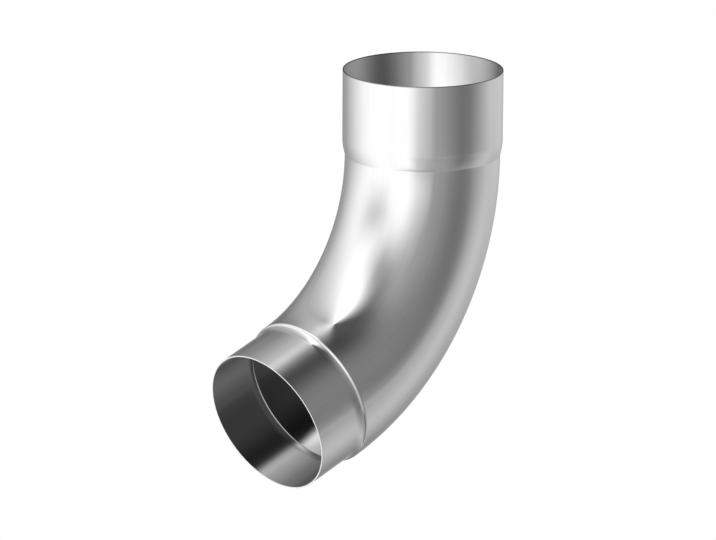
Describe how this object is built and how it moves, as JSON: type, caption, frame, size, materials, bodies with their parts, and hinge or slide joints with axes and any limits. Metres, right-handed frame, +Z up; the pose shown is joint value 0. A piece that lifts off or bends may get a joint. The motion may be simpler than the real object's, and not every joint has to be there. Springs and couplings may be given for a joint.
{
  "type": "downspout elbow",
  "caption": "Round sheet-metal downspout elbow turning 72 degrees, with a wide socket at its upper end and a drawn-in spigot behind a raised ring at its lower end.",
  "frame": {"origin": "on the socket's axis, in the plane where the straight bore ends and the upper pipe's end stops", "axes": "+Z up the socket, against the flow; the bend turns in the XZ plane, and the spigot points down and towards -X"},
  "size_m": [0.2031, 0.102, 0.25],
  "materials": {
    "bright_zinc_sheet": "smooth bright zinc-coated steel sheet"
  },
  "bodies": {
    "root": {"elbow": "bright_zinc_sheet"}
  },
  "joints": []
}
